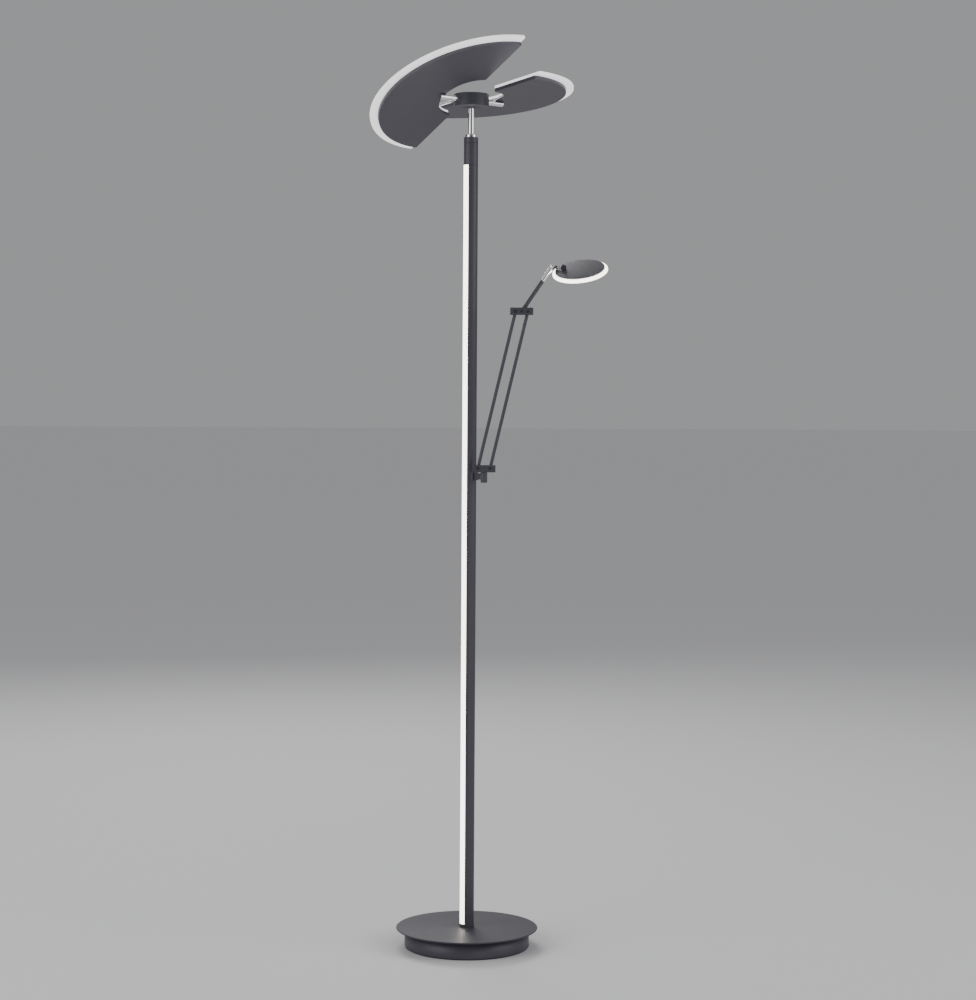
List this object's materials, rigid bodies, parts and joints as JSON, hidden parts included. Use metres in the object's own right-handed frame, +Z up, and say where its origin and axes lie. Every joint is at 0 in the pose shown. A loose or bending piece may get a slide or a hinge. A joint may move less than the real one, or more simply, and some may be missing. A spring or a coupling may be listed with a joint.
{
  "type": "torchiere floor lamp",
  "caption": "Floor lamp: weighted round base, slim column with lit strip, tilting half-ring uplight panels on a hub, and a parallelogram reading arm with a round head.",
  "frame": {"origin": "centre of the felt pad's underside, on the floor, on the column's axis", "axes": "+Z up the column; +X along the panels' common pivot line, towards the right panel; the column's light strip faces -X and the reading arm's bracket -Y"},
  "size_m": [0.4018, 0.4257, 1.7683],
  "materials": {
    "black_powder_coat": "fine-textured matt powder coat, near-black anthracite",
    "white_acrylic": "satin white light-guide acrylic",
    "opal_diffuser": "opal diffuser, lit warm white",
    "chrome": "polished chrome plate",
    "felt": "pressed felt",
    "cast_iron": "rough casting",
    "circuit_board": "white solder mask",
    "rubber_grommet": "moulded rubber",
    "clear_lead": "silver-grey clear-jacketed wire",
    "driver_case": "white moulded case",
    "brass": "turned brass",
    "nylon": "moulded nylon",
    "zinc_steel": "zinc-plated steel",
    "black_steel": "blackened steel"
  },
  "bodies": {
    "root": {"arm_bracket": "black_powder_coat", "arm_bracket_screws": "zinc_steel", "base_bottom_plate": "zinc_steel", "base_felt_pad": "felt", "base_plate_screws": "zinc_steel", "base_skirt": "black_powder_coat", "base_top_disc": "black_powder_coat", "base_weight": "cast_iron", "column_bolt": "zinc_steel", "column_bolt_washer": "zinc_steel", "column_diffuser": "opal_diffuser", "column_foot": "black_powder_coat", "column_led_strip": "circuit_board", "column_profile": "black_powder_coat", "column_top_cap": "black_powder_coat", "cord_inlet_grommet": "rubber_grommet", "hub_cover": "black_powder_coat", "hub_cover_screws": "zinc_steel", "hub_pivot_carrier": "zinc_steel", "hub_shell": "black_powder_coat", "led_driver_box": "driver_case", "left_feed_lead": "clear_lead", "pivot_bushes": "brass", "right_feed_lead": "clear_lead", "stem_collar": "chrome", "stem_lock_nut": "zinc_steel", "stem_tube": "chrome", "touch_dimmer_ring": "black_powder_coat"},
    "left_wing": {"left_friction_washer": "nylon", "left_light_panel": "white_acrylic", "left_panel_led_board": "circuit_board", "left_panel_screws": "zinc_steel", "left_panel_tray": "black_powder_coat", "left_pivot_rod": "chrome", "left_pivot_rod_clip": "zinc_steel"},
    "right_wing": {"right_friction_washer": "nylon", "right_light_panel": "white_acrylic", "right_panel_led_board": "circuit_board", "right_panel_screws": "zinc_steel", "right_panel_tray": "black_powder_coat", "right_pivot_rod": "chrome", "right_pivot_rod_clip": "zinc_steel"},
    "arm_base": {"lower_bar": "black_powder_coat", "lower_bar_pins": "black_steel", "swivel_pin": "zinc_steel", "swivel_cap": "black_powder_coat"},
    "link_a": {"link_rod_a": "black_powder_coat"},
    "link_b": {"link_rod_b": "black_powder_coat"},
    "elbow_block": {"upper_bar": "black_powder_coat", "upper_bar_pins": "black_steel"},
    "forearm": {"upper_arm": "black_powder_coat"},
    "neck": {"neck_sleeve": "chrome", "head_tilt_pin": "chrome"},
    "knuckle": {"head_knuckle": "black_powder_coat"},
    "head": {"head_spindle": "chrome", "head_bracket": "black_powder_coat", "head_cover": "black_powder_coat", "head_led_board": "circuit_board", "head_diffuser": "opal_diffuser"}
  },
  "joints": [
    {"name": "left_wing_tilt", "type": "hinge", "parent": "root", "child": "left_wing", "pos_m": [0, 0, 1.6665], "axis": [1, 0, 0], "range_deg": [-19.2, 70.8]},
    {"name": "right_wing_tilt", "type": "hinge", "parent": "root", "child": "right_wing", "pos_m": [0, 0, 1.6665], "axis": [1, 0, 0], "range_deg": [-40, 50]},
    {"name": "arm_swivel", "type": "hinge", "parent": "root", "child": "arm_base", "pos_m": [0, -0.0466, 0.9393], "axis": [0, 0, 1], "range_deg": [-165, 65]},
    {"name": "arm_swing", "type": "hinge", "parent": "arm_base", "child": "link_a", "pos_m": [-0.00939, -0.03913, 0.9472], "axis": [0.6225, 0.7826, 0], "range_deg": [-13, 34]},
    {"name": "rear_link_swing", "type": "hinge", "parent": "arm_base", "child": "link_b", "pos_m": [0.00939, -0.05407, 0.9472], "axis": [0.6225, 0.7826, 0], "range_deg": [-13, 34]},
    {"name": "upper_bar_level", "type": "hinge", "parent": "link_a", "child": "elbow_block", "pos_m": [0.04672, -0.08377, 1.2529], "axis": [0.6225, 0.7826, 0], "range_deg": [-34, 13]},
    {"name": "elbow_tilt", "type": "hinge", "parent": "elbow_block", "child": "forearm", "pos_m": [0.05611, -0.09124, 1.2529], "axis": [0.6225, 0.7826, 0], "range_deg": [-16, 15]},
    {"name": "neck_swivel", "type": "hinge", "parent": "forearm", "child": "neck", "pos_m": [0.10163, -0.12744, 1.33912], "axis": [0.4376, -0.3481, 0.829], "range_deg": [-60, 80]},
    {"name": "head_tilt", "type": "hinge", "parent": "neck", "child": "knuckle", "pos_m": [0.10163, -0.12744, 1.33912], "axis": [0.8163, 0.5403, -0.204], "range_deg": [-40, 12]},
    {"name": "head_roll", "type": "hinge", "parent": "knuckle", "child": "head", "pos_m": [0.10163, -0.12744, 1.33912], "axis": [0.5519, -0.8339, 0], "range_deg": [-70, 45]}
  ],
  "couplings": [
    {"joint": "rear_link_swing", "follows": "arm_swing", "ratio": 1},
    {"joint": "upper_bar_level", "follows": "arm_swing", "ratio": -1}
  ]
}
